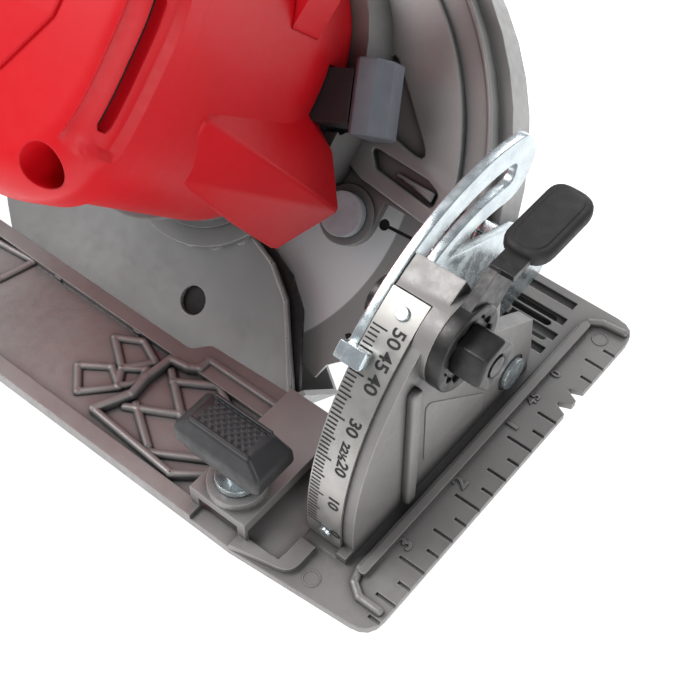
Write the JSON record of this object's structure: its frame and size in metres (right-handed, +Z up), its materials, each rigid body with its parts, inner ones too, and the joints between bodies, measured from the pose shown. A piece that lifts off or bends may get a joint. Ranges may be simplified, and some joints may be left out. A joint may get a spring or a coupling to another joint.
{
  "type": "circular saw",
  "caption": "Cordless circular saw with a bevelling shoe, curved bevel scale with lock lever, sprung lower guard, rear trigger handle and slide-on battery pack.",
  "frame": {"origin": "on the sole of the shoe, on the square-cut line of the blade, under the front bevel bracket", "axes": "+X forward along the cut, +Y towards the blade side, +Z up from the sole; the saw body leans 45 degrees towards +Y"},
  "size_m": [0.33, 0.2022, 0.227],
  "materials": {
    "magnesium": "satin cast",
    "red": "fine texture",
    "black": "fine texture",
    "rubber": "matte",
    "zinc": "bright zinc",
    "steel": "ground",
    "dark_steel": "black oxide",
    "copper": "wound wire",
    "board": "lacquered",
    "slate": "fine texture",
    "cells": "wrapped cells"
  },
  "bodies": {
    "saw_body": {"upper_guard": "magnesium", "guard_stop_screw": "zinc", "gear_case": "magnesium", "bearing_plate": "magnesium", "motor_housing": "red", "stator": "dark_steel", "winding_front": "copper", "winding_rear": "copper", "spindle_bearing_outer": "steel", "spindle_bearing_inner": "steel", "motor_bearing_front": "steel", "motor_bearing_rear": "steel", "handle_right": "red", "handle_left": "red", "handle_screw_1": "dark_steel", "handle_screw_2": "dark_steel", "handle_screw_3": "dark_steel", "switch_module": "black", "control_board": "board", "battery_terminal": "black", "front_handle": "black", "front_handle_sleeve": "rubber", "depth_lock_bolt": "zinc", "depth_pivot_pin": "zinc"},
    "blade_set": {"blade": "steel", "spindle": "steel", "inner_flange": "dark_steel", "outer_flange": "dark_steel", "blade_bolt": "dark_steel", "drive_gear": "steel"},
    "motor_rotor": {"motor_shaft": "steel", "rotor": "dark_steel", "cooling_fan": "black"},
    "swing_guard": {"lower_guard": "magnesium"},
    "spindle_lock": {"spindle_lock_stem": "black", "spindle_lock_cap": "slate"},
    "trigger_body": {"trigger": "black"},
    "lock_off": {"lock_off_button": "black"},
    "depth_lever": {"depth_lock_lever": "black"},
    "battery_pack": {"battery_case": "black", "battery_cells": "cells"},
    "button_right": {"battery_button_right": "red"},
    "button_left": {"battery_button_left": "red"},
    "bevel_frame": {"bevel_quadrant": "zinc", "depth_arm": "zinc"},
    "shoe_body": {"shoe": "magnesium", "bevel_scale_plate": "steel", "scale_rivet_upper": "zinc", "scale_rivet_lower": "zinc", "front_bevel_pin": "zinc", "rear_bevel_pin": "zinc", "bevel_lock_bolt": "dark_steel"},
    "bevel_lever": {"bevel_lock_lever": "dark_steel", "lever_paddle": "rubber", "bevel_lock_nut": "dark_steel"},
    "fence_screw": {"fence_screw_stud": "zinc", "fence_screw_knob": "black"}
  },
  "joints": [
    {"name": "blade_spin", "type": "hinge", "parent": "saw_body", "child": "blade_set", "pos_m": [-0.1163, -0.01499, 0.03363], "axis": [0, 0.7071, -0.7071], "continuous": true},
    {"name": "motor_spin", "type": "hinge", "parent": "saw_body", "child": "motor_rotor", "pos_m": [-0.108, -0.01953, 0.07151], "axis": [0, 0.7071, -0.7071], "continuous": true},
    {"name": "guard_swing", "type": "hinge", "parent": "saw_body", "child": "swing_guard", "pos_m": [-0.1163, -0.00085, 0.01948], "axis": [0, 0.7071, -0.7071], "range_deg": [0, 115], "stiffness_Nm_per_rad": 0.15, "springref_deg": -91.67},
    {"name": "spindle_lock_push", "type": "slide", "parent": "saw_body", "child": "spindle_lock", "axis": [-0.9272, -0.2649, -0.2649], "range_m": [0, 0.005], "stiffness_N_per_m": 400, "springref_m": -0.006},
    {"name": "trigger_pull", "type": "hinge", "parent": "saw_body", "child": "trigger_body", "pos_m": [-0.2, 0.04469, 0.13856], "axis": [0, 0.7071, -0.7071], "range_deg": [0, 12], "stiffness_Nm_per_rad": 0.3, "springref_deg": -14.32},
    {"name": "lock_off_push", "type": "slide", "parent": "saw_body", "child": "lock_off", "axis": [0, -0.7071, 0.7071], "range_m": [0, 0.0035], "stiffness_N_per_m": 300, "springref_m": -0.006},
    {"name": "depth_lever_turn", "type": "hinge", "parent": "saw_body", "child": "depth_lever", "pos_m": [-0.182, 0.02347, 0.06361], "axis": [0, 0.7071, -0.7071], "range_deg": [0, 35]},
    {"name": "battery_slide", "type": "slide", "parent": "saw_body", "child": "battery_pack", "axis": [-1, 0, 0], "range_m": [0, 0.13]},
    {"name": "button_right_push", "type": "slide", "parent": "battery_pack", "child": "button_right", "axis": [0, 0.7071, -0.7071], "range_m": [0, 0.0025], "stiffness_N_per_m": 300, "springref_m": -0.006},
    {"name": "button_left_push", "type": "slide", "parent": "battery_pack", "child": "button_left", "axis": [0, -0.7071, 0.7071], "range_m": [0, 0.0025], "stiffness_N_per_m": 300, "springref_m": -0.006},
    {"name": "depth_hinge", "type": "hinge", "parent": "saw_body", "child": "bevel_frame", "pos_m": [-0.021, 0.01569, 0.02189], "axis": [0, -0.7071, 0.7071], "range_deg": [0, 30]},
    {"name": "bevel_hinge", "type": "hinge", "parent": "bevel_frame", "child": "shoe_body", "pos_m": [-0.01, -0.0116, 0.011], "axis": [-1, 0, 0], "range_deg": [-5, 45]},
    {"name": "bevel_lever_turn", "type": "hinge", "parent": "shoe_body", "child": "bevel_lever", "pos_m": [0.012, -0.04716, 0.06179], "axis": [1, 0, 0], "range_deg": [0, 60]},
    {"name": "fence_screw_turn", "type": "hinge", "parent": "shoe_body", "child": "fence_screw", "pos_m": [-0.027, -0.091, 0.02], "axis": [0, 0, 1], "continuous": true}
  ],
  "couplings": [
    {"joint": "motor_spin", "follows": "blade_spin", "ratio": -3.4444}
  ]
}
